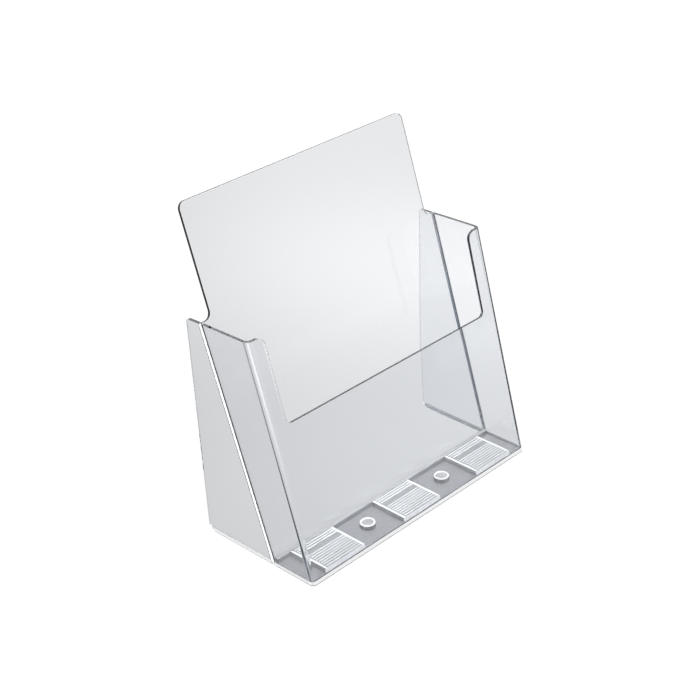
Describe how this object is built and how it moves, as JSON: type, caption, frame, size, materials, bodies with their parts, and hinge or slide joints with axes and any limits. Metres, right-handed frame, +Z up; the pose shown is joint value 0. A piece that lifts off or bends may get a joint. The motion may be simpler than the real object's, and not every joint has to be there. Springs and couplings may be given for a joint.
{
  "type": "magazine rack",
  "caption": "Clear plastic countertop rack with one leaning pocket for letter-size magazines and leaflets, open-backed on two triangular legs, with ribbed treads in the pocket floor.",
  "frame": {"origin": "on the counter, under the middle of the rack's overall box", "axes": "+Z up; the pocket's open front faces -Y, the legs stand at +Y; +X is the rack's right seen from the front; the rack is symmetric about X = 0"},
  "size_m": [0.235, 0.1166, 0.2503],
  "materials": {
    "clear_panel": "polished clear polystyrene",
    "smoky_floor": "clear polystyrene with a fine matt grain, reads grey",
    "ribbed_tread": "clear polystyrene with bright ribs",
    "round_boss": "polished clear polystyrene"
  },
  "bodies": {
    "root": {"pocket_front": "clear_panel", "back_panel": "clear_panel", "left_leg": "clear_panel", "right_leg": "clear_panel", "pocket_floor": "smoky_floor", "left_tread": "ribbed_tread", "middle_tread": "ribbed_tread", "right_tread": "ribbed_tread", "left_boss": "round_boss", "right_boss": "round_boss"}
  },
  "joints": []
}
